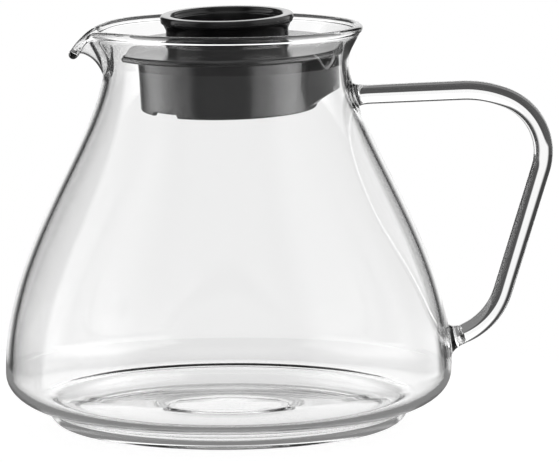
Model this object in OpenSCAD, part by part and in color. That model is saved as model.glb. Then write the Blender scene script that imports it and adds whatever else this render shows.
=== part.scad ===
// Glass coffee jug with a loose black lid.
// The jug is blown glass in one piece: body, foot ring, raised middle of the floor, neck, rim bead,
// drawn spout and a bent glass rod as handle. The lid is one plastic moulding that rests in the
// flared neck, turned and tilted a little as it happens to lie.
// Origin: the jug's axis at the surface it stands on. +Z up, spout towards -X, handle towards +X.

/* [Body] */
// Largest outside diameter of the body
body_d = 160; // [150:1:176]
// Height of the widest place above the standing surface
belly_z = 18; // [14:0.5:22]
// Height from the standing surface to the top of the rim bead
jug_h = 142.4; // [134:0.2:160]
// Thickness of the blown wall
wall = 2.3; // [1.8:0.1:2.6]

/* [Foot and floor] */
// Outside diameter of the foot ring
foot_d = 129; // [118:0.5:134]
// Height at which the body springs from the foot ring
foot_h = 6.5; // [6:0.25:8]
// Rounding of the foot ring's outer lower edge
foot_edge_r = 5; // [3:0.25:5.5]
// Width of the flat ring that the jug stands on
rest_w = 2.6; // [1.5:0.1:5]
// Thickness of the floor
floor_t = 2.4; // [2:0.1:3.4]
// Diameter of the raised middle of the floor
punt_d = 48; // [36:1:60]
// Height by which the middle of the floor is raised
punt_h = 2.3; // [1.5:0.1:3.2]

/* [Neck and rim] */
// Outside diameter of the neck where it is narrowest
neck_d = 87.1; // [82:0.5:92]
// How far the rim bead stands out beyond the neck, on the radius
rim_out = 5.2; // [4:0.1:7]
// Thickness of the rim bead
bead_t = 2.9; // [2.4:0.1:3.2]

/* [Spout] */
// How far the tip of the spout stands out beyond the neck
spout_out = 12.65; // [10:0.05:16]
// How far the tip lies below the rim
spout_drop = 8.6; // [6:0.2:10]
// Thickness of the bead at the tip of the spout
tip_t = 3.5; // [2.6:0.1:4]
// Thickness of the drawn wall in the spout
spout_wall = 1.1; // [0.9:0.1:1.6]
// Half angle over which the spout is drawn out of the neck
spout_spread = 8.3; // [7:0.1:10]

/* [Handle] */
// Thickness of the bent glass rod
rod_d = 6.9; // [6:0.1:8]
// Distance from the axis to the outermost point of the rod's centre line
handle_reach = 113; // [108:1:124]
// Height of the rod's centre line where it leaves the neck
handle_top_z = 116.9; // [112:0.1:117]
// Height of the rod's centre line where it meets the belly
handle_low_z = 28.6; // [26:0.1:34]
// Bend radius of the long bend at the top
bend_top_r = 38; // [30:1:44]
// Bend radius of the tight bend at the outer corner
bend_corner_r = 20.8; // [16:0.2:24]
// Bend radius of the lower bend
bend_low_r = 24.5; // [18:0.5:28]
// How much wider than the rod the melted joint is at the wall
joint_flare = 2.6; // [1:0.1:3.5]

/* [Lid] */
// How far the flange overlaps the narrowest place of the neck, on the radius
flange_lap = 0.55; // [0.3:0.05:1]
// Thickness of the flange
flange_t = 2.4; // [2:0.1:3]
// Distance from the lid's axis to the straight edge that leaves the spout free
flange_cut = 34.2; // [30:0.2:37]
// Depth of the skirt below the flange
skirt_depth = 20.5; // [14:0.5:26]
// Gap between the flange's edge and the skirt, on the radius
skirt_inset = 9.7; // [8:0.1:12]
// Width of the hollow lug on the skirt's handle side
lug_w = 25; // [16:0.5:30]
// Clearance between the lug and the narrowest place of the neck
lug_gap = 1.65; // [1.4:0.05:3]
// How much shorter than the skirt the lug is at its outer face
lug_rise = 6; // [2:0.5:10]
// Thickness of the skirt and of the lid's other walls
lid_wall = 2; // [1.6:0.1:2.4]
// Outside diameter of the knob's cylinder
knob_d = 43.7; // [36:0.2:46]
// Height of the knob above the flange
knob_h = 11; // [9:0.2:16]
// How far the knob's grip bead stands out, on the radius
grip_out = 1.85; // [1:0.05:2.5]
// Height of the knob's grip bead
grip_h = 3.2; // [2.6:0.1:4.4]
// Clearance between the flange and the neck where it rests
seat_gap = 0.3; // [0.2:0.05:0.4]
// Forward lean of the lid as it lies in the neck, in degrees
lean_front = 1.86; // [0:0.02:2]
// Lean of the lid towards the spout, in degrees
lean_spout = 1.07; // [0:0.01:1.2]
// How far the lid lies off the jug's axis, towards the handle
lid_shift = 0.5; // [0:0.1:0.6]
// Turn of the lid about its own axis, in degrees
lid_turn = -5; // [-15:1:15]

/* [Hidden] */

glass_tint = [0.86, 0.89, 0.88, 0.35];
lid_black = [0.09, 0.09, 0.095];
round_fn = 128;

// Shape of the body's side: one cubic curve, upright at the belly and at the neck.
belly_pull = 0.424;
neck_pull = 0.231;
neck_below_rim = 13;
body_steps = 40;
// Shape of the body's underside between the foot ring and the belly.
under_out = 2;
under_lift = 0.4;
under_pull = 5;
belly_pull_down = 0.62;
under_steps = 10;
// Seam between the turned body and the drawn neck, as a share of the body's curve.
seam_t = 0.925;
// The drawn neck's wall is this much thinner on each side, so that it starts inside the turned wall.
neck_tuck = 0.12;
tuck_deep = 1.5;
// Recess under the floor that keeps the glass off the surface inside the foot ring.
rest_rise = 0.5;
ease_w = 3;
arc_steps = 8;

body_r = body_d / 2;
foot_r = foot_d / 2;
punt_r = punt_d / 2;
neck_r = neck_d / 2;
rim_r = neck_r + rim_out - bead_t / 2;
rim_z = jug_h - bead_t / 2;
neck_z = jug_h - neck_below_rim;
side_h = neck_z - belly_z;
rod_r = rod_d / 2;

// A point and a direction on a cubic curve with end points a, d and pull points b, c.
function curve(a, b, c, d, t) =
    pow(1 - t, 3) * a + 3 * t * pow(1 - t, 2) * b + 3 * t * t * (1 - t) * c + pow(t, 3) * d;
function along(a, b, c, d, t) =
    let (v = 3 * pow(1 - t, 2) * (b - a) + 6 * t * (1 - t) * (c - b) + 3 * t * t * (d - c))
    v / norm(v);
// The direction to the right of v, which is outwards on a curve that runs upwards.
function right_of(v) = [v[1], -v[0]];
function arc_points(centre, r, from, to, steps = arc_steps) =
    [for (i = [0 : steps]) let (a = from + (to - from) * i / steps) centre + r * [cos(a), sin(a)]];
// A soft step from one level to another, flat at both ends.
function ease(from, to, steps = 6) =
    [for (i = [0 : steps]) let (t = i / steps)
        [from[0] + (to[0] - from[0]) * t, from[1] + (to[1] - from[1]) * t * t * (3 - 2 * t)]];
function reversed(list) = [for (i = [len(list) - 1 : -1 : 0]) list[i]];

// The body's side from belly to neck, and its underside from foot to belly.
side = [[body_r, belly_z], [body_r, belly_z + belly_pull * side_h],
        [neck_r, neck_z - neck_pull * side_h], [neck_r, neck_z]];
under = [[foot_r + under_out, foot_h], [foot_r + under_out + under_pull, foot_h + under_lift],
         [body_r, belly_z - belly_pull_down * (belly_z - foot_h)], [body_r, belly_z]];
function side_at(t, inset = 0) =
    curve(side[0], side[1], side[2], side[3], t)
    - inset * right_of(along(side[0], side[1], side[2], side[3], t));
function under_at(t, inset = 0) =
    curve(under[0], under[1], under[2], under[3], t)
    - inset * right_of(along(under[0], under[1], under[2], under[3], t));
function side_points(inset, last = seam_t) =
    [for (i = [1 : body_steps]) side_at(last * i / body_steps, inset)];
function under_points(inset) =
    [for (i = [0 : under_steps]) under_at(i / under_steps, inset)];
seam = side_at(seam_t);
seam_z = seam[1];

// Underside of the glass from the axis to the foot ring, then the foot ring's rounded edge.
rest_r = foot_r - foot_edge_r;
base_points = concat(
    [[0, punt_h]],
    ease([punt_r - ease_w, punt_h], [punt_r, rest_rise]),
    ease([rest_r - rest_w - ease_w, rest_rise], [rest_r - rest_w, 0]),
    arc_points([rest_r, foot_edge_r], foot_edge_r, -90, 0));

// Inside of the glass from the axis to the foot, one floor thickness above the underside.
floor_r = foot_r - wall;
corner_r = foot_edge_r - wall + 1;
floor_points = concat(
    [[0, floor_t + punt_h]],
    ease([punt_r - ease_w, floor_t + punt_h], [punt_r, floor_t]),
    arc_points([floor_r - corner_r, floor_t + corner_r], corner_r, -90, 0));

// The outer form of the body up to the seam, and the room inside it.
module body_form() {
    rotate_extrude($fn = round_fn)
        polygon(concat(base_points, under_points(0), side_points(0), [[0, seam_z]]));
}

module cavity() {
    rotate_extrude($fn = round_fn)
        polygon(concat(floor_points, under_points(wall), side_points(wall, seam_t + 0.02),
            [[0, seam_z + 2]]));
}

// Centre line of the neck's wall from the seam to the rim bead, away from the spout.
seam_dir = along(side[0], side[1], side[2], side[3], seam_t);
seam_mid = seam - wall / 2 * right_of(seam_dir);
tip = [neck_r + spout_out - tip_t / 2, jug_h - spout_drop - tip_t / 2];
neck_rise = rim_z - seam_z;
lip_tilt = 22.4;
lip_line = [seam_mid, seam_mid + 0.576 * neck_rise * seam_dir,
            [rim_r, rim_z] - 0.398 * neck_rise * [sin(lip_tilt), cos(lip_tilt)], [rim_r, rim_z]];
// The same line through the middle of the spout: it leaves the neck lower and ends level.
tip_dip = 33.6;
spout_line = [seam_mid, seam_mid + 0.25 * norm(tip - seam_mid) * seam_dir,
              tip - 0.4 * norm(tip - seam_mid) * [cos(tip_dip), -sin(tip_dip)], tip];

// How much a direction belongs to the spout: for the reach, and for the dip, which runs out wider.
function reach_share(a) = exp(-pow(a / spout_spread, 2));
function dip_share(a) =
    0.8 * exp(-pow(a / (0.85 * spout_spread), 2)) + 0.2 * exp(-pow(a / (2.9 * spout_spread), 2));

neck_steps = 11;
bead_steps = 7;
// Centre line in the direction a degrees away from the spout.
function wall_mid(a, t) =
    let (p = curve(lip_line[0], lip_line[1], lip_line[2], lip_line[3], t),
         q = curve(spout_line[0], spout_line[1], spout_line[2], spout_line[3], t),
         u = reach_share(a), w = dip_share(a))
    [p[0] + (q[0] - p[0]) * u, p[1] + (q[1] - p[1]) * w];
function wall_dir(a, t) =
    let (e = 0.01, v = wall_mid(a, min(1, t + e)) - wall_mid(a, max(0, t - e))) v / norm(v);
// Half thickness: the blown wall, thinner where the spout was drawn, swelling into the bead.
function half_wall(a, t) =
    let (u = reach_share(a), thin = (wall + (spout_wall - wall) * u * min(1, 2 * t)) / 2,
         bead = (bead_t + (tip_t - bead_t) * u) / 2, s = pow(t, 12))
    thin + (bead - thin) * s - neck_tuck * (1 - s);
// Closed outline of the wall in one direction: up the outside, over the bead, down the inside.
function wall_outline(a) =
    let (end = wall_mid(a, 1), d = wall_dir(a, 1), n = right_of(d), bead = half_wall(a, 1))
    concat(
        [wall_mid(a, 0) + half_wall(a, 0) * right_of(wall_dir(a, 0)) - tuck_deep * seam_dir],
        [for (i = [0 : neck_steps - 1]) let (t = i / neck_steps)
            wall_mid(a, t) + half_wall(a, t) * right_of(wall_dir(a, t))],
        [for (i = [0 : bead_steps]) let (b = -20 + 220 * i / bead_steps)
            end + bead * (cos(b) * n + sin(b) * d)],
        [for (i = [neck_steps - 1 : -1 : 0]) let (t = i / neck_steps)
            wall_mid(a, t) - half_wall(a, t) * right_of(wall_dir(a, t))],
        [wall_mid(a, 0) - half_wall(a, 0) * right_of(wall_dir(a, 0)) - tuck_deep * seam_dir]);

// Directions round the neck, counted from the spout: close together there, wider elsewhere.
spout_side = 30;
fine_step = 3;
coarse_step = 6;
directions = concat(
    [for (a = [-spout_side : fine_step : spout_side - fine_step]) a],
    [for (a = [spout_side : coarse_step : 360 - spout_side - coarse_step]) a]);
function from_spout(a) = a > 180 ? a - 360 : a;

module neck() {
    rings = [for (a = directions) [for (p = wall_outline(from_spout(a)))
        [p[0] * cos(180 + a), p[0] * sin(180 + a), p[1]]]];
    m = len(rings);
    n = len(rings[0]);
    points = [for (ring = rings) each ring];
    faces = [for (i = [0 : m - 1], j = [0 : n - 1])
        let (i2 = (i + 1) % m, j2 = (j + 1) % n)
        each [[i * n + j, i * n + j2, i2 * n + j2], [i * n + j, i2 * n + j2, i2 * n + j]]];
    polyhedron(points, faces, convexity = 6);
}

// Where the body's outer face stands at a height between belly and seam.
side_table = [for (i = [0 : body_steps]) let (p = side_at(i / body_steps)) [p[1], p[0]]];
function face_r(z) = lookup(z, side_table);

// Centre line of the handle: neck, long bend, corner bend, straight grip, lower bend, belly.
top_rise = 2.1;
corner_from = 23;
grip_lean = 17;
low_to = 71;
top_dir = [cos(top_rise), sin(top_rise)];
top_face = [face_r(handle_top_z), handle_top_z];
// The corner bend's outermost point is the handle's reach.
corner_x = handle_reach - bend_corner_r;
long_x = corner_x - (bend_top_r - bend_corner_r) * sin(corner_from);
long_start_x = long_x - bend_top_r * sin(top_rise);
long_start = top_face + (long_start_x - top_face[0]) / cos(top_rise) * top_dir;
long_centre = [long_x, long_start[1] - bend_top_r * cos(top_rise)];
corner_centre = long_centre
    + (bend_top_r - bend_corner_r) * [sin(corner_from), cos(corner_from)];
grip_dir = [-sin(grip_lean), -cos(grip_lean)];
grip_start = corner_centre + bend_corner_r * [cos(grip_lean), -sin(grip_lean)];
// The lower bend ends in a straight piece that meets the belly at handle_low_z.
low_dir = [-sin(low_to), -cos(low_to)];
low_face = [face_r(handle_low_z), handle_low_z];
// How far along the grip its line crosses the lower piece's line.
low_reach = grip_start - low_face;
cross_at = (low_reach[0] * low_dir[1] - low_reach[1] * low_dir[0])
    / (grip_dir[1] * low_dir[0] - grip_dir[0] * low_dir[1]);
low_tangent = bend_low_r * tan((low_to - grip_lean) / 2);
grip_end = grip_start + (cross_at - low_tangent) * grip_dir;
low_centre = grip_end + bend_low_r * [-cos(grip_lean), sin(grip_lean)];

// Stations on a bend that is travelled clockwise, each a point, a direction and a radius.
bend_step = 6;
function bend(centre, r, from, to) =
    let (steps = ceil((from - to) / bend_step))
    [for (i = [0 : steps]) let (a = from + (to - from) * i / steps)
        [centre + r * [cos(a), sin(a)], [sin(a), -cos(a)], rod_r]];
// Stations at a melted joint, from behind the wall out to the plain rod; the cavity trims them.
flare_l = 3.8;
flare_steps = 5;
joint_in = wall + 2;
function joint(face, dir) = concat(
    [[face - joint_in * dir, dir, rod_r + joint_flare]],
    [for (i = [0 : flare_steps]) let (t = i / flare_steps)
        [face + flare_l * t * dir, dir, rod_r + joint_flare * pow(1 - t, 2)]]);
function turned(stations) = [for (s = reversed(stations)) [s[0], -s[1], s[2]]];

// The long bend runs straight on into the corner bend, which leaves out their common station.
corner_bend = bend(corner_centre, bend_corner_r, 90 - corner_from, -grip_lean);
route = concat(
    joint(top_face, top_dir),
    bend(long_centre, bend_top_r, 90 + top_rise, 90 - corner_from),
    [for (i = [1 : len(corner_bend) - 1]) corner_bend[i]],
    bend(low_centre, bend_low_r, -grip_lean, -low_to),
    turned(joint(low_face, -low_dir)));

rod_sides = 20;
module handle() {
    m = len(route);
    points = [for (s = route, k = [0 : rod_sides - 1])
        let (a = 360 * k / rod_sides, side = s[2] * cos(a) * right_of(s[1]))
        [s[0][0] + side[0], s[2] * sin(a), s[0][1] + side[1]]];
    walls = [for (i = [0 : m - 2], k = [0 : rod_sides - 1])
        let (k2 = (k + 1) % rod_sides, a = i * rod_sides, b = a + rod_sides)
        each [[a + k, b + k2, a + k2], [a + k, b + k, b + k2]]];
    ends = [[for (k = [0 : rod_sides - 1]) k],
            [for (k = [rod_sides - 1 : -1 : 0]) (m - 1) * rod_sides + k]];
    polyhedron(points, concat(walls, ends), convexity = 6);
}

module glass_jug() {
    color(glass_tint) {
        difference() {
            union() {
                body_form();
                handle();
            }
            cavity();
        }
        neck();
    }
}

// The lid's place: where the neck's flare is as wide as the flange and its clearance, raised so
// that the lowest side of the leaning flange clears it too.
flange_r = neck_r - wall + flange_lap;
skirt_r = flange_r - skirt_inset;
knob_r = knob_d / 2;
flare_from = 0.35;
flare_to = 0.95;
flare_table = [for (i = [0 : 2 * neck_steps])
    let (t = flare_from + (flare_to - flare_from) * i / (2 * neck_steps))
    wall_mid(180, t) - half_wall(180, t) * right_of(wall_dir(180, t))];
seat_z = lookup(flange_r + seat_gap, flare_table);
lean = sqrt(lean_front * lean_front + lean_spout * lean_spout);
lid_z = seat_z + flange_t / 2 + flange_r * sin(lean);

grip_edge_r = 1.2;
skirt_draft = 0.6;
notch_from = 37;
notch_to = 60;
notch_h = 1.3;
cup_step = 1.1;
cup_step_h = 1.8;
cup_step_fall = 0.4;
cup_corner = 0.8;
top_edge_r = 0.9;
knob_root_r = 0.5;
skirt_edge_r = 0.8;
skirt_inner_edge = 0.5;

skirt_in_r = skirt_r - lid_wall - skirt_draft;
cup_r = knob_r - lid_wall - cup_step;
lug_r = neck_r - wall - lug_gap;
// The lug starts in the middle of the skirt's wall and of the flange, a step above the skirt's
// lower edge, and is open below.
lug_root_r = skirt_r - lid_wall / 2;
lug_top = -flange_t / 2;
lug_step = 1.2;
lug_low = -flange_t - skirt_depth + lug_step;
lug_open = lug_low - lid_wall;

// Section of the lid, turned about its axis; its zero height is the flange's upper face.
lid_section = concat(
    [[0, -flange_t]],
    [[skirt_r - lid_wall, -flange_t]],
    [[skirt_in_r, -flange_t - skirt_depth + skirt_inner_edge]],
    [[skirt_in_r + skirt_inner_edge, -flange_t - skirt_depth]],
    arc_points([skirt_r - skirt_draft - skirt_edge_r, -flange_t - skirt_depth + skirt_edge_r],
        skirt_edge_r, -90, 0),
    [[skirt_r, -flange_t]],
    arc_points([flange_r - flange_t / 2, -flange_t / 2], flange_t / 2, -90, 90, 12),
    arc_points([knob_r + knob_root_r, knob_root_r], knob_root_r, 270, 180, 4),
    [[knob_r, knob_h - grip_h - grip_out]],
    arc_points([knob_r + grip_out - grip_edge_r, knob_h - grip_h + grip_edge_r], grip_edge_r, -75, 0),
    arc_points([knob_r + grip_out - top_edge_r, knob_h - top_edge_r], top_edge_r, 0, 90),
    arc_points([knob_r - lid_wall + top_edge_r, knob_h - top_edge_r], top_edge_r, 90, 180),
    [[knob_r - lid_wall, knob_h - cup_step_h]],
    [[cup_r, knob_h - cup_step_h - cup_step_fall]],
    [[cup_r, cup_corner]],
    [[cup_r - cup_corner, 0]],
    [[0, 0]]);

// Part of a ring round the lid's axis that lies within half_w of the handle's direction.
module lug_block(half_w, section) {
    intersection() {
        rotate_extrude($fn = round_fn)
            polygon(section);
        translate([0, -half_w, -flange_t - 2 * skirt_depth])
            cube([2 * flange_r, 2 * half_w, 2 * skirt_depth + flange_t]);
    }
}

// The lug, with its lower side rising outwards so that it passes the neck when the lid is lifted.
module lug() {
    difference() {
        lug_block(lug_w / 2, [[lug_root_r, lug_top], [lug_root_r, lug_low],
            [lug_r, lug_low + lug_rise], [lug_r, lug_top]]);
        lug_block(lug_w / 2 - lid_wall, [[skirt_r, -flange_t], [skirt_r, lug_open],
            [lug_r - lid_wall, lug_open], [lug_r - lid_wall, -flange_t]]);
    }
}

// What stays of the flange: everything on the handle's side of the straight edge.
module spout_cut() {
    translate([-flange_cut - 2 * flange_r, -2 * flange_r, -flange_t - 1])
        cube([2 * flange_r, 4 * flange_r, flange_t + 2]);
}

// The notch in the skirt's lower edge, at the front of the spout side.
module skirt_notch() {
    mid = 180 + (notch_from + notch_to) / 2;
    half_w = skirt_r * sin((notch_to - notch_from) / 2);
    rotate([0, 0, mid])
        translate([skirt_r / 2, -half_w, -flange_t - skirt_depth - 1])
            cube([skirt_r, 2 * half_w, notch_h + 1]);
}

module lid() {
    color(lid_black)
        translate([lid_shift, 0, lid_z])
            rotate([0, -lean_spout, 0])
                rotate([lean_front, 0, 0])
                    rotate([0, 0, lid_turn])
                        difference() {
                            union() {
                                rotate_extrude($fn = round_fn)
                                    polygon(lid_section);
                                lug();
                            }
                            spout_cut();
                            skirt_notch();
                        }
}

glass_jug();
lid();
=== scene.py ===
# Glass coffee jug with a loose black lid: the finished look round the CAD frame.
# Lengths in the dictionaries are millimetres, as in the CAD source; meshes end up in metres.
import bpy
import bmesh
import math
from mathutils import Matrix, Vector


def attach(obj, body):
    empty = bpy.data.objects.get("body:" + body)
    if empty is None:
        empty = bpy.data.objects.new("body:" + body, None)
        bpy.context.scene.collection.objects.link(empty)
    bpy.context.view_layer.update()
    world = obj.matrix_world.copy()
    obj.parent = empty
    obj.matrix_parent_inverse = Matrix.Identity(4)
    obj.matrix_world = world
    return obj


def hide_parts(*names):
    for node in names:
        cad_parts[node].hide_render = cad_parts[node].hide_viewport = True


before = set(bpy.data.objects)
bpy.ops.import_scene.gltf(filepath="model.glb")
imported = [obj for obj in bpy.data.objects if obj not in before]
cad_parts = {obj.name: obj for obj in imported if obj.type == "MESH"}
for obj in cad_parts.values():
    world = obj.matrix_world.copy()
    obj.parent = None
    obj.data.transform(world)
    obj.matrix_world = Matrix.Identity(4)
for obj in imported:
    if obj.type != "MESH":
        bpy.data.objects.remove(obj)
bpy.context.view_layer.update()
mm = 0.001
print("frame loaded")


# Curves in the plane of a profile: x is the radius, y the height.

def cubic(a, b, c, d, t):
    s = 1 - t
    return a * s ** 3 + b * (3 * t * s * s) + c * (3 * t * t * s) + d * t ** 3


def cubicDirection(a, b, c, d, t):
    s = 1 - t
    return ((b - a) * (3 * s * s) + (c - b) * (6 * t * s) + (d - c) * (3 * t * t)).normalized()


def rightOf(v):
    return Vector((v.y, -v.x))


def arc(centre, radius, start, stop, steps):
    angles = [math.radians(start + (stop - start) * i / steps) for i in range(steps + 1)]
    return [centre + radius * Vector((math.cos(a), math.sin(a))) for a in angles]


# From one level to another, flat at both ends.
def softStep(start, stop, steps=8):
    points = []
    for i in range(steps + 1):
        t = i / steps
        points.append(Vector((start[0] + (stop[0] - start[0]) * t,
                              start[1] + (stop[1] - start[1]) * t * t * (3 - 2 * t))))
    return points


def finishMesh(bm, name, material, smooth=True):
    bmesh.ops.transform(bm, matrix=Matrix.Scale(mm, 4), verts=bm.verts[:])
    for face in bm.faces:
        face.smooth = smooth
    mesh = bpy.data.meshes.new(name)
    bm.to_mesh(mesh)
    bm.free()
    mesh.materials.append(material)
    piece = bpy.data.objects.new(name, mesh)
    bpy.context.scene.collection.objects.link(piece)
    return piece


# A profile is spun into one wedge. The wedge is copied round and closed along its seams and poles.
def turnRound(rows, steps, wedges=16):
    bm = bmesh.new()
    rowLayer = bm.verts.layers.int.new("row")
    line = []
    for i, p in enumerate(rows):
        vertex = bm.verts.new((p.x, 0.0, p.y))
        vertex[rowLayer] = i
        line.append(vertex)
    edges = [bm.edges.new(pair) for pair in zip(line, line[1:])]
    wedgeTurn = math.tau / wedges
    bmesh.ops.spin(bm, geom=line + edges, cent=(0, 0, 0), axis=(0, 0, 1), angle=wedgeTurn,
                   steps=steps // wedges, use_merge=False)
    wedge = bm.verts[:] + bm.edges[:] + bm.faces[:]
    for k in range(1, wedges):
        copy = bmesh.ops.duplicate(bm, geom=wedge)["geom"]
        bmesh.ops.rotate(bm, cent=(0, 0, 0), matrix=Matrix.Rotation(wedgeTurn * k, 3, "Z"),
                         verts=[g for g in copy if isinstance(g, bmesh.types.BMVert)])
    onSeam = []
    for vertex in bm.verts:
        share = math.atan2(vertex.co.y, vertex.co.x) / wedgeTurn
        atPole = math.hypot(vertex.co.x, vertex.co.y) < 0.001
        if atPole or abs(share - round(share)) < 0.01:
            onSeam.append(vertex)
    bmesh.ops.remove_doubles(bm, verts=onSeam, dist=0.0005)
    bmesh.ops.recalc_face_normals(bm, faces=bm.faces[:])
    return bm, rowLayer


class Tree:
    def __init__(self, nodeTree):
        self.tree = nodeTree
        self.tree.nodes.clear()

    def add(self, kind, settings=None, sockets=None, out=0):
        node = self.tree.nodes.new(kind)
        for key, value in (settings or {}).items():
            setattr(node, key, value)
        for key, value in (sockets or {}).items():
            self.feed(node.inputs[key], value)
        return Number(self, node.outputs[out] if len(node.outputs) else None, node)

    def mixColours(self, factor, first, second):
        # The Mix node keeps its colour sockets at 6 and 7, and its colour result at 2.
        return self.add("ShaderNodeMix", {"data_type": "RGBA"}, {0: factor, 6: first, 7: second}, 2)

    def feed(self, socket, value):
        if isinstance(value, Number):
            self.tree.links.new(value.socket, socket)
        else:
            socket.default_value = value


# A socket with arithmetic: each operation adds its Math node.
class Number:
    def __init__(self, tree, socket, node):
        self.tree = tree
        self.socket = socket
        self.node = node

    def output(self, key):
        return Number(self.tree, self.node.outputs[key], self.node)

    def maths(self, operation, *values):
        return self.tree.add("ShaderNodeMath", {"operation": operation}, dict(enumerate(values)))

    def __add__(self, other):
        return self.maths("ADD", self, other)

    def __radd__(self, other):
        return self.maths("ADD", other, self)

    def __sub__(self, other):
        return self.maths("SUBTRACT", self, other)

    def __rsub__(self, other):
        return self.maths("SUBTRACT", other, self)

    def __mul__(self, other):
        return self.maths("MULTIPLY", self, other)

    def __rmul__(self, other):
        return self.maths("MULTIPLY", other, self)

    def degrees(self):
        return self.maths("DEGREES", self)

    def smoothly(self, low, high):
        ends = {"Value": self, "From Min": low, "From Max": high, "To Min": 0.0, "To Max": 1.0}
        return self.tree.add("ShaderNodeMapRange", {"interpolation_type": "SMOOTHSTEP"}, ends)


def between(first, second, share):
    return first + (second - first) * share


def noise(tree, where, scale, detail, roughness=0.5):
    sockets = {"Vector": where, "Scale": scale, "Detail": detail, "Roughness": roughness}
    return tree.add("ShaderNodeTexNoise", None, sockets, "Fac")


glassLook = {
    "colour": (0.95, 0.95, 0.95, 1.0), "ior": 1.47,
    "roughnessFrom": 0.0024, "roughnessTo": 0.0056, "fineScale": 198.0,
    "waveScale": 22.0, "waveHeight": 0.00004,  # the slow waves of blown glass, in metres
}


def clearGlass(look):
    material = bpy.data.materials.new("clearGlass")
    material.use_nodes = True
    tree = Tree(material.node_tree)
    where = tree.add("ShaderNodeTexCoord").output("Object")
    wave = noise(tree, where, look["waveScale"], detail=2.0)
    fine = noise(tree, where, look["fineScale"], detail=2.0)
    bump = tree.add("ShaderNodeBump", None,
                    {"Strength": 1.0, "Distance": look["waveHeight"], "Height": wave})
    shader = tree.add("ShaderNodeBsdfPrincipled", None, {
        "Base Color": look["colour"], "IOR": look["ior"], "Transmission Weight": 1.0,
        "Roughness": between(look["roughnessFrom"], look["roughnessTo"], fine), "Normal": bump})
    tree.add("ShaderNodeOutputMaterial", None, {"Surface": shader})
    return material


lidLook = {
    "colour": (0.012, 0.012, 0.0125, 1.0), "worn": (0.016, 0.016, 0.0165, 1.0), "ior": 1.7,
    "roughnessFrom": 0.136, "roughnessTo": 0.184, "cloudScale": 60.0,
    "grainScale": 900.0, "grainHeight": 0.000012,  # the fine skin of the moulding, in metres
}


def blackPlastic(look):
    material = bpy.data.materials.new("blackPlastic")
    material.use_nodes = True
    tree = Tree(material.node_tree)
    where = tree.add("ShaderNodeTexCoord").output("Object")
    cloud = noise(tree, where, look["cloudScale"], detail=4.0, roughness=0.6)
    grain = noise(tree, where, look["grainScale"], detail=2.0)
    bump = tree.add("ShaderNodeBump", None,
                    {"Strength": 0.5, "Distance": look["grainHeight"], "Height": grain})
    tint = tree.mixColours(cloud, look["colour"], look["worn"])
    shader = tree.add("ShaderNodeBsdfPrincipled", None, {
        "Base Color": tint, "IOR": look["ior"], "Normal": bump,
        "Roughness": between(look["roughnessFrom"], look["roughnessTo"], cloud)})
    tree.add("ShaderNodeOutputMaterial", None, {"Surface": shader})
    return material


glass = clearGlass(glassLook)
plastic = blackPlastic(lidLook)
print("materials ready")


jug = {
    "bodyRadius": 80.0, "bellyHeight": 18.0, "height": 142.4, "wall": 2.3,
    "footRadius": 64.5, "footHeight": 6.5, "footEdge": 5.0, "restWidth": 2.6, "restRise": 0.5,
    "floor": 2.4, "cornerRadius": 3.7, "puntRadius": 24.0, "puntHeight": 2.3, "puntFlat": 0.45,
    "ease": 3.0, "floorRings": (12.0, 24.0),  # rows of the flat floor, beyond its raised middle
    "neckRadius": 43.55, "neckBelowRim": 13.0, "rimOut": 5.2, "bead": 2.9,
    "underBead": 0.4, "thinning": 3, "swelling": 24,  # the wall thins upwards, then swells fast
    "bellyPull": 0.424, "neckPull": 0.231,
    "underOut": 2.0, "underLift": 0.4, "underPull": 5.0, "bellyPullDown": 0.62,
    "seam": 0.925, "lipTilt": 22.4, "lipPulls": (0.576, 0.398),
    "spoutOut": 12.65, "spoutDrop": 8.6, "spoutTip": 3.5, "spoutWall": 1.1, "spoutSpread": 8.3,
    "spoutDip": 33.6, "spoutPulls": (0.25, 0.4),
    "dips": ((0.8, 0.85), (0.2, 2.9)),  # share of the dip, and its width against the spout's
    "steps": 320, "sideRows": 80, "innerRows": 56, "underRows": 12, "neckRows": 30,
    "beadRows": 12, "beadFrom": -20.0, "beadTurn": 220.0,
}

top = jug["height"] - jug["bead"] / 2
neckTop = jug["height"] - jug["neckBelowRim"]
sideRise = neckTop - jug["bellyHeight"]
underX = jug["footRadius"] + jug["underOut"]
underRise = jug["bellyHeight"] - jug["footHeight"]

# The body's side from belly to neck, and its underside from foot to belly.
side = [Vector((jug["bodyRadius"], jug["bellyHeight"])),
        Vector((jug["bodyRadius"], jug["bellyHeight"] + jug["bellyPull"] * sideRise)),
        Vector((jug["neckRadius"], neckTop - jug["neckPull"] * sideRise)),
        Vector((jug["neckRadius"], neckTop))]
under = [Vector((underX, jug["footHeight"])),
         Vector((underX + jug["underPull"], jug["footHeight"] + jug["underLift"])),
         Vector((jug["bodyRadius"], jug["bellyHeight"] - jug["bellyPullDown"] * underRise)),
         side[0]]


def sideAt(t, inset=0.0):
    return cubic(*side, t) - inset * rightOf(cubicDirection(*side, t))


def underAt(t, inset=0.0):
    return cubic(*under, t) - inset * rightOf(cubicDirection(*under, t))


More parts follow.
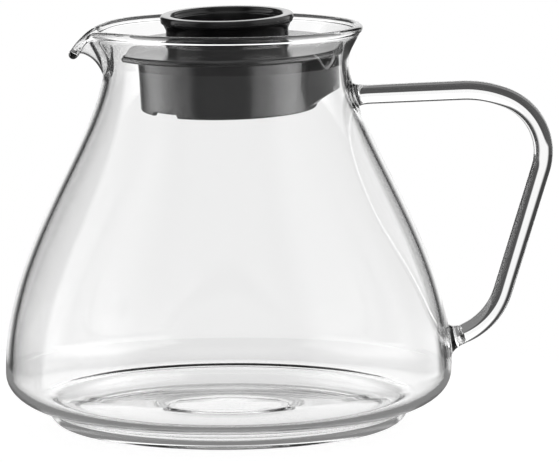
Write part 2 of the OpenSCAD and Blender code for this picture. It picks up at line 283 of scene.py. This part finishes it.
# The middle of the neck's wall, from the seam to the rim and from the seam to the spout's tip.
seamDirection = cubicDirection(*side, jug["seam"])
seamMiddle = sideAt(jug["seam"], jug["wall"] / 2)
rim = Vector((jug["neckRadius"] + jug["rimOut"] - jug["bead"] / 2, top))
tip = Vector((jug["neckRadius"] + jug["spoutOut"] - jug["spoutTip"] / 2,
              jug["height"] - jug["spoutDrop"] - jug["spoutTip"] / 2))
neckRise = top - sideAt(jug["seam"]).y
lipTilt = math.radians(jug["lipTilt"])
lipLine = [seamMiddle, seamMiddle + jug["lipPulls"][0] * neckRise * seamDirection,
           rim - jug["lipPulls"][1] * neckRise * Vector((math.sin(lipTilt), math.cos(lipTilt))), rim]
spoutDip = math.radians(jug["spoutDip"])
spoutLength = (tip - seamMiddle).length
spoutLine = [seamMiddle, seamMiddle + jug["spoutPulls"][0] * spoutLength * seamDirection,
             tip - jug["spoutPulls"][1] * spoutLength * Vector((math.cos(spoutDip), -math.sin(spoutDip))),
             tip]


# How far a direction, in degrees from the spout, is drawn out, and how far it dips.
def reachShare(a):
    return math.exp(-(a / jug["spoutSpread"]) ** 2)


def dipShare(a):
    return sum(share * math.exp(-(a / (width * jug["spoutSpread"])) ** 2) for share, width in jug["dips"])


def neckMiddle(a, t):
    p = cubic(*lipLine, t)
    q = cubic(*spoutLine, t)
    return Vector((p.x + (q.x - p.x) * reachShare(a), p.y + (q.y - p.y) * dipShare(a)))


def neckDirection(a, t):
    step = 0.01
    return (neckMiddle(a, min(1.0, t + step)) - neckMiddle(a, max(0.0, t - step))).normalized()


# Half of the wall's thickness.
def neckHalf(a, t):
    share = reachShare(a)
    thin = (jug["wall"] + (jug["spoutWall"] - jug["wall"]) * share * min(1.0, 2 * t)) / 2
    bead = (jug["bead"] + (jug["spoutTip"] - jug["bead"]) * share) / 2
    thin -= jug["underBead"] / 2 * t ** jug["thinning"]
    return thin + (bead - thin) * t ** jug["swelling"]


# Up the outside, over the rim's bead and down the inside.
def neckOutline(a):
    rows = jug["neckRows"]
    end = neckMiddle(a, 1.0)
    direction = neckDirection(a, 1.0)
    outwards = rightOf(direction)
    bead = neckHalf(a, 1.0)
    outside, inside = [], []
    for i in range(rows):
        t = i / rows
        middle = neckMiddle(a, t)
        step = neckHalf(a, t) * rightOf(neckDirection(a, t))
        outside.append(middle + step)
        inside.append(middle - step)
    over = []
    for i in range(jug["beadRows"] + 1):
        b = math.radians(jug["beadFrom"] + jug["beadTurn"] * i / jug["beadRows"])
        over.append(end + bead * (math.cos(b) * outwards + math.sin(b) * direction))
    return outside + over + inside[::-1]


def jugProfile():
    foot, edge, rest = jug["footRadius"], jug["footEdge"], jug["restRise"]
    wall, floor, corner = jug["wall"], jug["floor"], jug["cornerRadius"]
    punt, high, ease = jug["puntRadius"], jug["puntHeight"], jug["ease"]
    restR = foot - edge
    flat = punt * jug["puntFlat"]
    nearRing, farRing = (punt + ring for ring in jug["floorRings"])

    rows = [Vector((0.0, high)), Vector((flat, high))]
    rows += softStep((punt - ease, high), (punt, rest))
    rows += [Vector((nearRing, rest)), Vector((farRing, rest))]
    rows += softStep((restR - jug["restWidth"] - ease, rest), (restR - jug["restWidth"], 0.0))
    rows += arc(Vector((restR, edge)), edge, -90, 0, steps=10)
    rows += [underAt(i / jug["underRows"]) for i in range(jug["underRows"] + 1)]
    firstSide = len(rows)
    rows += [sideAt(jug["seam"] * i / jug["sideRows"]) for i in range(1, jug["sideRows"])]
    firstNeck = len(rows)
    neck = neckOutline(180.0)
    rows += neck
    rows += [sideAt(jug["seam"] * i / jug["innerRows"], wall) for i in range(jug["innerRows"] - 1, 0, -1)]
    rows += [underAt(i / jug["underRows"], wall) for i in range(jug["underRows"], -1, -1)]
    rows += arc(Vector((foot - wall - corner, floor + corner)), corner, 0, -90, steps=8)
    rows += [Vector((farRing, floor)), Vector((nearRing, floor))]
    rows += softStep((punt, floor), (punt - ease, floor + high))
    rows += [Vector((flat, floor + high)), Vector((0.0, floor + high))]
    return rows, firstSide, firstNeck, len(neck)


handle = {
    "rod": 3.45, "reach": 113.0, "topZ": 116.9, "lowZ": 28.6,
    "longBend": 38.0, "cornerBend": 20.8, "lowBend": 24.5,
    "topRise": 2.1, "cornerFrom": 23.0, "gripLean": 17.0, "lowTo": 71.0,  # degrees
    "sides": 36, "bendStep": 3.0, "straightStep": 3.5,
    # The melted root: distance from the wall and radius of the rod there, and how fast it turns.
    "flare": ((0.7, 5.0), (1.3, 4.5), (2.0, 4.1), (2.9, 3.78), (4.0, 3.56), (5.5, 3.45)),
    "rootTurn": 0.7,
    # Where a root meets the wall: its share of the flare, radius, and the cells that it takes up.
    "topJoint": {"flare": 0.45, "ring": 4.7, "columns": 10, "rows": 8},
    "lowJoint": {"flare": 1.0, "ring": 5.8, "columns": 8, "rows": 10},
    "mound": 0.4, "moundSpread": 3.2, "easeCells": 6, "easePasses": 30, "jointReach": 14.0,
}

# The outer wall from foot to neck, and its radius at a height.
sideTable = [underAt(i / 60) for i in range(60)] + [sideAt(i / 400) for i in range(401)]


def faceRadius(z):
    for a, b in zip(sideTable, sideTable[1:]):
        if a.y <= z <= b.y:
            return a.x + (b.x - a.x) * (z - a.y) / (b.y - a.y)
    return sideTable[0].x if z < sideTable[0].y else sideTable[-1].x


# Stations along the rod, each a point, a direction and a radius, from the upper joint to the lower.
def handleRoute():
    def bend(centre, radius, start, stop):
        steps = math.ceil((start - stop) / handle["bendStep"])
        return [(p, rightOf(p - centre) / radius) for p in arc(centre, radius, start, stop, steps)]

    def straight(start, stop):
        direction = (stop - start).normalized()
        steps = max(2, round((stop - start).length / handle["straightStep"]))
        return [(start + (stop - start) * i / steps, direction) for i in range(1, steps)]

    # A root starts square to the wall and turns to the rod's direction on its way out.
    def root(face, direction, joint):
        span = 2.0
        square = Vector((2 * span, faceRadius(face.y - span) - faceRadius(face.y + span))).normalized()
        stations = []
        for d, r in handle["flare"]:
            share = (d / deepest) ** handle["rootTurn"]
            turned = (square * (1 - share) + direction * share).normalized()
            stations.append((face + d * direction, turned, rod + joint["flare"] * (r - rod)))
        return stations

    rod = handle["rod"]
    deepest = handle["flare"][-1][0]
    rise, corner = (math.radians(handle[k]) for k in ("topRise", "cornerFrom"))
    lean, low = (math.radians(handle[k]) for k in ("gripLean", "lowTo"))
    rLong, rCorner, rLow = handle["longBend"], handle["cornerBend"], handle["lowBend"]

    # The top runs out from the neck into the long bend, and that into the tight corner.
    topDirection = Vector((math.cos(rise), math.sin(rise)))
    topFace = Vector((faceRadius(handle["topZ"]), handle["topZ"]))
    longX = handle["reach"] - rCorner - (rLong - rCorner) * math.sin(corner)
    longStart = topFace + (longX - rLong * math.sin(rise) - topFace.x) / math.cos(rise) * topDirection
    longCentre = Vector((longX, longStart.y - rLong * math.cos(rise)))
    cornerCentre = longCentre + (rLong - rCorner) * Vector((math.sin(corner), math.cos(corner)))

    # The grip runs down from the corner to where its line crosses the one to the lower joint.
    grip = Vector((-math.sin(lean), -math.cos(lean)))
    gripStart = cornerCentre + rCorner * Vector((math.cos(lean), -math.sin(lean)))
    lowDirection = Vector((-math.sin(low), -math.cos(low)))
    lowFace = Vector((faceRadius(handle["lowZ"]), handle["lowZ"]))
    away = gripStart - lowFace
    cross = ((away.x * lowDirection.y - away.y * lowDirection.x)
             / (grip.y * lowDirection.x - grip.x * lowDirection.y))
    gripEnd = gripStart + (cross - rLow * math.tan((low - lean) / 2)) * grip
    lowCentre = gripEnd + rLow * Vector((-math.cos(lean), math.sin(lean)))

    lowBend = bend(lowCentre, rLow, -handle["gripLean"], -handle["lowTo"])
    middle = straight(topFace + deepest * topDirection, longStart)
    middle += bend(longCentre, rLong, 90 + handle["topRise"], 90 - handle["cornerFrom"])
    middle += bend(cornerCentre, rCorner, 90 - handle["cornerFrom"], -handle["gripLean"])[1:]
    middle += straight(gripStart, gripEnd) + lowBend
    middle += straight(lowBend[-1][0], lowFace - deepest * lowDirection)
    out = root(topFace, topDirection, handle["topJoint"])
    back = [(p, -d, r) for p, d, r in reversed(root(lowFace, -lowDirection, handle["lowJoint"]))]
    return out + [(p, d, rod) for p, d in middle] + back, topFace, lowFace


# Which column of the jug's faces a vertex starts, counted from the handle.
def columnOf(vertex):
    return round(math.degrees(math.atan2(vertex.co.y, vertex.co.x)) * jug["steps"] / 360)


def buildJug():
    rows, firstSide, firstNeck, neckCount = jugProfile()
    bm, rowLayer = turnRound(rows, jug["steps"])

    # The spout is drawn out of the plain neck: each direction has its own outline.
    outlines = {}
    for vertex in bm.verts:
        i = vertex[rowLayer] - firstNeck
        if 0 <= i < neckCount:
            column = columnOf(vertex)
            if column not in outlines:
                outlines[column] = neckOutline(abs(180 - abs(column * 360 / jug["steps"])))
            p = outlines[column][i]
            turn = math.tau * column / jug["steps"]
            vertex.co = (p.x * math.cos(turn), p.x * math.sin(turn), p.y)

    route, topFace, lowFace = handleRoute()
    openWall(bm, rowLayer, rows, firstSide, topFace, handle["topJoint"])
    openWall(bm, rowLayer, rows, firstSide, lowFace, handle["lowJoint"])
    rod = sweepRod(route)
    bm.from_mesh(rod)
    bpy.data.meshes.remove(rod)
    for face in (topFace, lowFace):
        centre = Vector((face.x, 0.0, face.y))
        ends = [e for e in bm.edges
                if e.is_boundary and (e.verts[0].co - centre).length < handle["jointReach"]]
        bmesh.ops.bridge_loops(bm, edges=ends)
    bmesh.ops.recalc_face_normals(bm, faces=bm.faces[:])
    return finishMesh(bm, "glassJug", glass)


# Cuts a patch of cells out of the wall, draws its border to a ring and swells the glass round it.
def openWall(bm, rowLayer, rows, firstSide, face, joint):
    middleRow = min(range(firstSide, firstSide + jug["sideRows"] - 1), key=lambda i: abs(rows[i].y - face.y))
    lowRow, highRow = middleRow - joint["rows"] // 2, middleRow + joint["rows"] // 2
    half = joint["columns"] // 2
    cells = handle["easeCells"]

    near = {}
    for vertex in bm.verts:
        row = vertex[rowLayer]
        if lowRow - cells - 1 <= row <= highRow + cells + 1 and vertex.co.x > 0:
            column = columnOf(vertex)
            if abs(column) <= half + cells + 1:
                near[(row, column)] = vertex
    inside = []
    for row in range(lowRow, highRow):
        for column in range(-half, half):
            corners = [set(near[(row + i, column + j)].link_faces) for i in (0, 1) for j in (0, 1)]
            inside += set.intersection(*corners)
    bmesh.ops.delete(bm, geom=inside, context="FACES")

    border = [(lowRow, c) for c in range(-half, half)]
    border += [(r, half) for r in range(lowRow, highRow)]
    border += [(highRow, c) for c in range(half, -half, -1)]
    border += [(r, -half) for r in range(highRow, lowRow, -1)]
    below, above = rows[middleRow - 3], rows[middleRow + 3]
    slope = math.atan2(below.x - above.x, above.y - below.y)
    cellTurn = 360 / len(border)
    for k, key in enumerate(border):
        a = math.radians(-90 + (k - half) * cellTurn)
        z = face.y + joint["ring"] * math.sin(a) * math.cos(slope)
        y = joint["ring"] * math.cos(a)
        radius = faceRadius(z)
        near[key].co = (math.sqrt(radius * radius - y * y), y, z)
    borderVerts = {near[key] for key in border}
    loose = [v for key, v in near.items() if v.is_valid and v not in borderVerts
             and lowRow - cells <= key[0] <= highRow + cells and abs(key[1]) <= half + cells]
    for _ in range(handle["easePasses"]):
        bmesh.ops.smooth_vert(bm, verts=loose, factor=0.5, use_axis_x=True, use_axis_y=True, use_axis_z=True)
    for vertex in loose + list(borderVerts):
        turn = math.atan2(vertex.co.y, vertex.co.x)
        distance = math.hypot(face.x * turn, vertex.co.z - face.y)
        beyond = max(0.0, distance - joint["ring"])
        radius = faceRadius(vertex.co.z) + handle["mound"] * math.exp(-(beyond / handle["moundSpread"]) ** 2)
        vertex.co.x, vertex.co.y = radius * math.cos(turn), radius * math.sin(turn)


def sweepRod(route):
    def place(station):
        point, direction, radius = station
        along = Vector((direction.x, 0.0, direction.y))
        across = Vector((0.0, 1.0, 0.0))
        turn = Matrix((along.cross(across), across, along)).transposed().to_4x4()
        return Matrix.Translation((point.x, 0.0, point.y)) @ turn @ Matrix.Scale(radius, 4)

    bm = bmesh.new()
    bmesh.ops.create_circle(bm, segments=handle["sides"], radius=1.0, matrix=place(route[0]))
    edges = bm.edges[:]
    for before, after in zip(route, route[1:]):
        made = bmesh.ops.extrude_edge_only(bm, edges=edges)["geom"]
        verts = [g for g in made if isinstance(g, bmesh.types.BMVert)]
        edges = [g for g in made if isinstance(g, bmesh.types.BMEdge)
                 and g.verts[0] in verts and g.verts[1] in verts]
        bmesh.ops.transform(bm, matrix=place(after) @ place(before).inverted(), verts=verts)
    rod = bpy.data.meshes.new("rod")
    bm.to_mesh(rod)
    bm.free()
    return rod


glassJug = buildJug()
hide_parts("glass_jug")
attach(glassJug, "root")
print("jug built:", len(glassJug.data.polygons), "faces")


lid = {
    "flange": 41.8, "flangeT": 2.4, "cut": 34.2, "cutEdge": 0.9, "steps": 256,
    "skirt": 32.1, "skirtDepth": 20.5, "wall": 2.0, "draft": 0.6,
    "skirtRoot": 0.7, "skirtEdge": 0.8, "innerRoot": 0.6, "innerEdge": 0.5,
    "knob": 21.85, "knobH": 11.0, "knobRoot": 0.5, "topEdge": 0.9,
    "gripOut": 1.85, "gripH": 3.2, "gripEdge": 1.2, "underGrip": 0.3,
    "cupStep": 1.1, "cupStepH": 1.8, "cupStepFall": 0.6, "cupStepEdge": 0.4, "cupCorner": 0.8,
    "place": (0.5, 0.0, 135.363), "leanFront": 1.86, "leanSpout": 1.07, "turn": -5.0,
    "notchFrom": 37.0, "notchTo": 60.0, "notchH": 1.3, "notchBand": 1.5,
    "lug": 39.6, "lugWidth": 25.0, "lugRise": 6.0, "lugStep": 1.2, "lugHollow": 12.0, "lugEdge": 0.9,
    "lugTurn": 35.0, "lugSteps": 56, "sharpAngle": 0.6,
}
lidLow = -lid["flangeT"] - lid["skirtDepth"]


# From the middle of the underside, round the skirt, the flange and the knob into its cup.
def lidProfile():
    flange, thick, skirt, wall, draft = (lid[k] for k in ("flange", "flangeT", "skirt", "wall", "draft"))
    knob, high, topEdge = lid["knob"], lid["knobH"], lid["topEdge"]
    skirtRoot, skirtEdge = lid["skirtRoot"], lid["skirtEdge"]
    innerRoot, innerEdge = lid["innerRoot"], lid["innerEdge"]
    inner = skirt - wall - draft
    cup = knob - wall - lid["cupStep"]
    halfWay = (lidLow - thick) / 2
    stepZ = high - lid["cupStepH"]

    rows = [Vector((0, -thick)), Vector((skirt * 0.5, -thick))]
    rows += arc(Vector((skirt - wall - innerRoot, -thick - innerRoot)), innerRoot, 90, 0, steps=5)
    rows += [Vector((inner + draft / 2, halfWay)), Vector((inner, lidLow + innerEdge))]
    rows += arc(Vector((inner + innerEdge, lidLow + innerEdge)), innerEdge, 190, 270, steps=4)
    rows += arc(Vector((skirt - draft - skirtEdge, lidLow + skirtEdge)), skirtEdge, -90, 0, steps=6)
    rows += [Vector((skirt - draft / 2, halfWay))]
    rows += arc(Vector((skirt + skirtRoot, -thick - skirtRoot)), skirtRoot, 180, 90, steps=5)
    rows += arc(Vector((flange - thick / 2, -thick / 2)), thick / 2, -90, 90, steps=14)
    rows += arc(Vector((knob + lid["knobRoot"], lid["knobRoot"])), lid["knobRoot"], 270, 180, steps=5)
    rows += [Vector((knob, high - lid["gripH"] - lid["gripOut"] - lid["underGrip"]))]
    grip = Vector((knob + lid["gripOut"] - lid["gripEdge"], high - lid["gripH"] + lid["gripEdge"]))
    rows += arc(grip, lid["gripEdge"], -75, 0, steps=8)
    rows += arc(Vector((knob + lid["gripOut"] - topEdge, high - topEdge)), topEdge, 0, 90, steps=7)
    rows += arc(Vector((knob - wall + topEdge, high - topEdge)), topEdge, 90, 180, steps=7)
    rows += [Vector((knob - wall, stepZ))]
    stepEdge = Vector((cup + lid["cupStepEdge"], stepZ - lid["cupStepFall"]))
    rows += arc(stepEdge, lid["cupStepEdge"], 90, 180, steps=4)
    rows += arc(Vector((cup - lid["cupCorner"], lid["cupCorner"])), lid["cupCorner"], 0, -90, steps=6)
    rows += [Vector((cup * 0.5, 0)), Vector((0, 0))]
    return rows


# Cuts away what lies beyond a plane and closes the cut. Gives the edges round it.
def cutFlat(bm, point, normal):
    cut = bmesh.ops.bisect_plane(bm, geom=bm.verts[:] + bm.edges[:] + bm.faces[:], dist=0.0001,
                                 plane_co=point, plane_no=normal, clear_outer=True)
    border = [g for g in cut["geom_cut"] if isinstance(g, bmesh.types.BMEdge)]
    bmesh.ops.holes_fill(bm, edges=border)
    return [e for e in border if e.is_valid]


def roundEdges(bm, edges, width, segments, clamp):
    bmesh.ops.bevel(bm, geom=edges, offset=width, offset_type="OFFSET", affect="EDGES",
                    segments=segments, profile=0.5, material=-1, clamp_overlap=clamp)


# The lug on the handle's side: a piece of a ring, cut flat on both sides and hollow from below.
def lugMesh():
    inner, outer = lid["skirt"] - lid["wall"] / 2, lid["lug"]
    high, low = -lid["flangeT"] / 2, lidLow + lid["lugStep"]
    bm = bmesh.new()
    ring = [bm.verts.new((x, 0.0, z)) for x, z in
            ((inner, high), (inner, low), (outer, low + lid["lugRise"]), (outer, high))]
    edges = [bm.edges.new((ring[i], ring[(i + 1) % 4])) for i in range(4)]
    halfTurn = math.radians(lid["lugTurn"])
    bmesh.ops.rotate(bm, verts=ring, cent=(0, 0, 0), matrix=Matrix.Rotation(-halfTurn, 3, "Z"))
    bmesh.ops.spin(bm, geom=ring + edges, cent=(0, 0, 0), axis=(0, 0, 1), angle=2 * halfTurn,
                   steps=lid["lugSteps"], use_merge=False)
    for side in (-1, 1):
        cutFlat(bm, (0, side * lid["lugWidth"] / 2, 0), (0, side, 0))
    bmesh.ops.recalc_face_normals(bm, faces=bm.faces[:])
    below = [f for f in bm.faces if f.normal.z < -0.5]
    bmesh.ops.inset_region(bm, faces=below, thickness=lid["wall"], use_boundary=True, use_even_offset=True)
    made = bmesh.ops.extrude_face_region(bm, geom=below)["geom"]
    bmesh.ops.delete(bm, geom=below, context="FACES")
    bmesh.ops.translate(bm, vec=(0, 0, lid["lugHollow"]),
                        verts=[g for g in made if isinstance(g, bmesh.types.BMVert)])
    sharp = [e for e in bm.edges if len(e.link_faces) == 2 and e.calc_face_angle() > lid["sharpAngle"]]
    roundEdges(bm, sharp, lid["lugEdge"], segments=4, clamp=True)
    lug = bpy.data.meshes.new("lug")
    bm.to_mesh(lug)
    bm.free()
    return lug


def buildLid():
    bm, _ = turnRound(lidProfile(), lid["steps"])

    # The notch in the skirt's lower edge.
    for vertex in bm.verts:
        a = math.degrees(math.atan2(vertex.co.y, vertex.co.x)) % 360 - 180
        if vertex.co.z < lidLow + lid["notchBand"] and lid["notchFrom"] <= a <= lid["notchTo"]:
            vertex.co.z += lid["notchH"]

    # The straight edge of the flange on the spout side.
    straight = cutFlat(bm, (-lid["cut"], 0, 0), (-1, 0, 0))
    roundEdges(bm, straight, lid["cutEdge"], segments=5, clamp=False)

    lug = lugMesh()
    bm.from_mesh(lug)
    bpy.data.meshes.remove(lug)
    pose = (Matrix.Translation(lid["place"]) @ Matrix.Rotation(math.radians(-lid["leanSpout"]), 4, "Y")
            @ Matrix.Rotation(math.radians(lid["leanFront"]), 4, "X")
            @ Matrix.Rotation(math.radians(lid["turn"]), 4, "Z"))
    bmesh.ops.transform(bm, matrix=pose, verts=bm.verts[:])
    return finishMesh(bm, "plasticLid", plastic)


plasticLid = buildLid()
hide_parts("lid")
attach(plasticLid, "root")
print("lid built:", len(plasticLid.data.polygons), "faces")


# The glass is lit from behind, as a bottle is: a white field behind it, dark on both sides of that
# field, and a soft light further round. Angles are degrees, turned from straight behind the jug or
# raised from level.
studio = {
    "floorRadius": 170.0, "floorGlow": 0.925, "floorWhite": 0.3, "floorUnseen": 0.24,
    "floorThrough": 0.86, "floorFar": 0.83, "throughFrom": 85.0, "throughTo": 165.0,
    "floorLost": 0.75,  # how much of the floor is missing from what the glass mirrors
    "dark": 0.05, "riseSoft": 15.0,
    "back": 1.0, "backFrom": 13.0, "backTo": 24.0, "backTop": 34.0, "backTopEnd": 44.0,
    "backHigh": 0.35, "backHighFrom": 2.0, "backHighTo": 8.0,
    "leftFrom": 69.0, "leftTo": 123.0, "rightFrom": 40.0, "rightTo": 135.0,
    "sideEdge": 1.1, "side": 0.55, "sideFade": 26.0, "sideSoft": 0.7, "sideEnd": 12.0, "sideTop": 50.0,
    "front": 0.03, "onKnob": 0.15, "frontFrom": 135.0, "frontTo": 160.0,
    "overhead": 0.5, "overheadFrom": 60.0,
    "low": 0.82, "lowPlain": 0.08, "lowMirrored": 0.2, "lowFrom": -10.0, "lowTo": -8.5,
    "sky": 0.7, "skyFrom": 38.0, "skyTo": 46.0,
    "ahead": 0.85, "aheadFrom": 118.0, "aheadTo": 150.0,  # what the jug shows from behind
}

# What the shiny lid reflects through the glass: a tall soft light on either side.
lidLights = {
    "leftFrom": 58.0, "leftTo": 132.0, "left": 3.3, "rightFrom": 72.0, "rightTo": 148.0, "right": 4.6,
    "nearSoft": 24.0, "farSoft": 7.0, "fall": 0.65,
}


# The floor is white to the eye and through the jug's two walls. A solid glass rod or bead, which
# turns the view upside down, gets the dark of the studio from below instead, as a black card gives.
# Light has gone through four surfaces when it is past both walls.
def seenThroughWalls(tree):
    path = tree.add("ShaderNodeLightPath")
    walls = path.maths("GREATER_THAN", path.output("Transmission Depth"), 3.5)
    mirrored = path.maths("GREATER_THAN", path.output("Glossy Depth"), 0.5)
    return path.output("Is Camera Ray"), walls, mirrored


def buildFloor():
    bm = bmesh.new()
    bmesh.ops.create_circle(bm, cap_ends=True, segments=96, radius=studio["floorRadius"])
    floorMaterial = bpy.data.materials.new("paleFloor")
    floorMaterial.use_nodes = True
    tree = Tree(floorMaterial.node_tree)
    where = tree.add("ShaderNodeTexCoord").output("Object")
    reach = tree.add("ShaderNodeVectorMath", {"operation": "LENGTH"}, {0: where}, "Value")
    white = (1.0, 1.0, 1.0, 1.0)
    glow = tree.add("ShaderNodeEmission", None, {"Color": white, "Strength": studio["floorGlow"]})
    paper = tree.add("ShaderNodeBsdfDiffuse", None, {"Color": (studio["floorWhite"],) * 3 + (1,)})
    both = tree.add("ShaderNodeAddShader", None, {0: glow, 1: paper})
    unseen = tree.add("ShaderNodeEmission", None, {"Color": white, "Strength": studio["floorUnseen"]})
    seen, walls, mirrored = seenThroughWalls(tree)
    fade = reach.smoothly(studio["throughFrom"] * mm, studio["throughTo"] * mm)
    through = between(studio["floorThrough"], studio["floorFar"], fade)
    share = seen.maths("MAXIMUM", seen, walls * through * (1 - studio["floorLost"] * mirrored))
    mix = tree.add("ShaderNodeMixShader", None, {0: share, 1: unseen, 2: both})
    tree.add("ShaderNodeOutputMaterial", None, {"Surface": mix})
    floor = finishMesh(bm, "floor", floorMaterial, smooth=False)


def buildWorld():
    world = bpy.data.worlds.new("studio")
    bpy.context.scene.world = world
    world.use_nodes = True
    tree = Tree(world.node_tree)
    where = tree.add("ShaderNodeTexCoord").output("Generated")
    split = tree.add("ShaderNodeSeparateXYZ", None, {0: where})
    x, y, z = (split.output(k) for k in "XYZ")
    turn = split.maths("ARCTAN2", x, y).degrees()
    away = split.maths("ABSOLUTE", turn)
    rise = split.maths("ARCSINE", z).degrees()

    def panel(angle, side):
        start, stop = studio[side + "From"], studio[side + "To"]
        soft, end = studio["sideSoft"], studio["sideEnd"]
        lit = angle.smoothly(start - soft, start + soft) * (1 - angle.smoothly(stop - end, stop + end))
        fade = 1 - angle.smoothly(start, start + studio["sideFade"])
        return lit * between(studio["side"], studio["sideEdge"], fade)

    def lidLight(angle, side):
        start, stop = lidLights[side + "From"], lidLights[side + "To"]
        near, far = lidLights["nearSoft"], lidLights["farSoft"]
        even = angle.smoothly(start - near, start + near) * (1 - angle.smoothly(stop - far, stop + far))
        return lidLights[side] * even * (1 - lidLights["fall"] * angle.smoothly(start, stop))

    def risen(start):
        return rise.smoothly(start, start + studio["riseSoft"])

    bright = studio["back"] + studio["backHigh"] * rise.smoothly(studio["backHighFrom"], studio["backHighTo"])
    back = bright * (1 - away.smoothly(studio["backFrom"], studio["backTo"])) * (
        1 - rise.smoothly(studio["backTop"], studio["backTopEnd"]))
    facing = away.smoothly(studio["frontFrom"], studio["frontTo"])
    belowTop = 1 - risen(studio["sideTop"])
    overhead = studio["overhead"] * risen(studio["overheadFrom"])
    calm = studio["dark"] + back + studio["front"] * facing + overhead
    level = calm + (panel(turn * -1, "left") + panel(turn, "right")) * belowTop
    onLid = (lidLight(turn * -1, "left") + lidLight(turn, "right")) * belowTop
    below = 1 - rise.smoothly(studio["lowFrom"], studio["lowTo"])
    above = rise.smoothly(studio["skyFrom"], studio["skyTo"])
    ahead = away.smoothly(studio["aheadFrom"], studio["aheadTo"]) * (1 - below) * (1 - above)

    # One level for each way of seeing the studio: in a solid rod, through both walls, and mirrored.
    plain = between(level, studio["lowPlain"], below) + studio["onKnob"] * facing * (1 - below)
    through = split.maths("MAXIMUM", level, studio["low"] * below + studio["sky"] * above
                          + studio["ahead"] * ahead)
    inMirror = calm + onLid + studio["lowMirrored"] * below
    seen, walls, mirrored = seenThroughWalls(tree)
    light = between(plain, between(through, inMirror, mirrored), walls)
    strength = seen + (1 - seen) * light
    background = tree.add("ShaderNodeBackground", None, {"Color": (1, 1, 1, 1), "Strength": strength})
    tree.add("ShaderNodeOutputWorld", None, {"Surface": background})


buildFloor()
buildWorld()
print("studio ready")


view = {
    "place": (18.2, -1578.096, 295.210), "target": (18.2, 0.0, 67.0), "roll": -0.3663,
    "focalPixels": 4451.4, "imageWidth": 559,  # the focal length in pixels of an image this wide
    "shift": (0.00195, 0.00508), "sensor": 36.0, "clip": (0.05, 30.0),  # clip distances in metres
}


def buildCamera():
    data = bpy.data.cameras.new("camera")
    data.sensor_fit = "HORIZONTAL"
    data.sensor_width = view["sensor"]
    data.lens = view["focalPixels"] / view["imageWidth"] * view["sensor"]
    data.shift_x, data.shift_y = view["shift"]
    data.clip_start, data.clip_end = view["clip"]
    camera = bpy.data.objects.new("camera", data)
    bpy.context.scene.collection.objects.link(camera)
    place, target = (Vector(view[k]) * mm for k in ("place", "target"))
    turn = (target - place).to_track_quat("-Z", "Y").to_matrix().to_4x4()
    roll = Matrix.Rotation(math.radians(view["roll"]), 4, "Z")
    camera.matrix_world = Matrix.Translation(place) @ turn @ roll
    bpy.context.scene.camera = camera


buildCamera()
bpy.context.scene.view_settings.view_transform = "Standard"
# A view along the glass goes in and out of it many times.
bpy.context.scene.cycles.max_bounces = 24
bpy.context.scene.cycles.glossy_bounces = 16
bpy.context.scene.cycles.transmission_bounces = 20
print("camera ready")
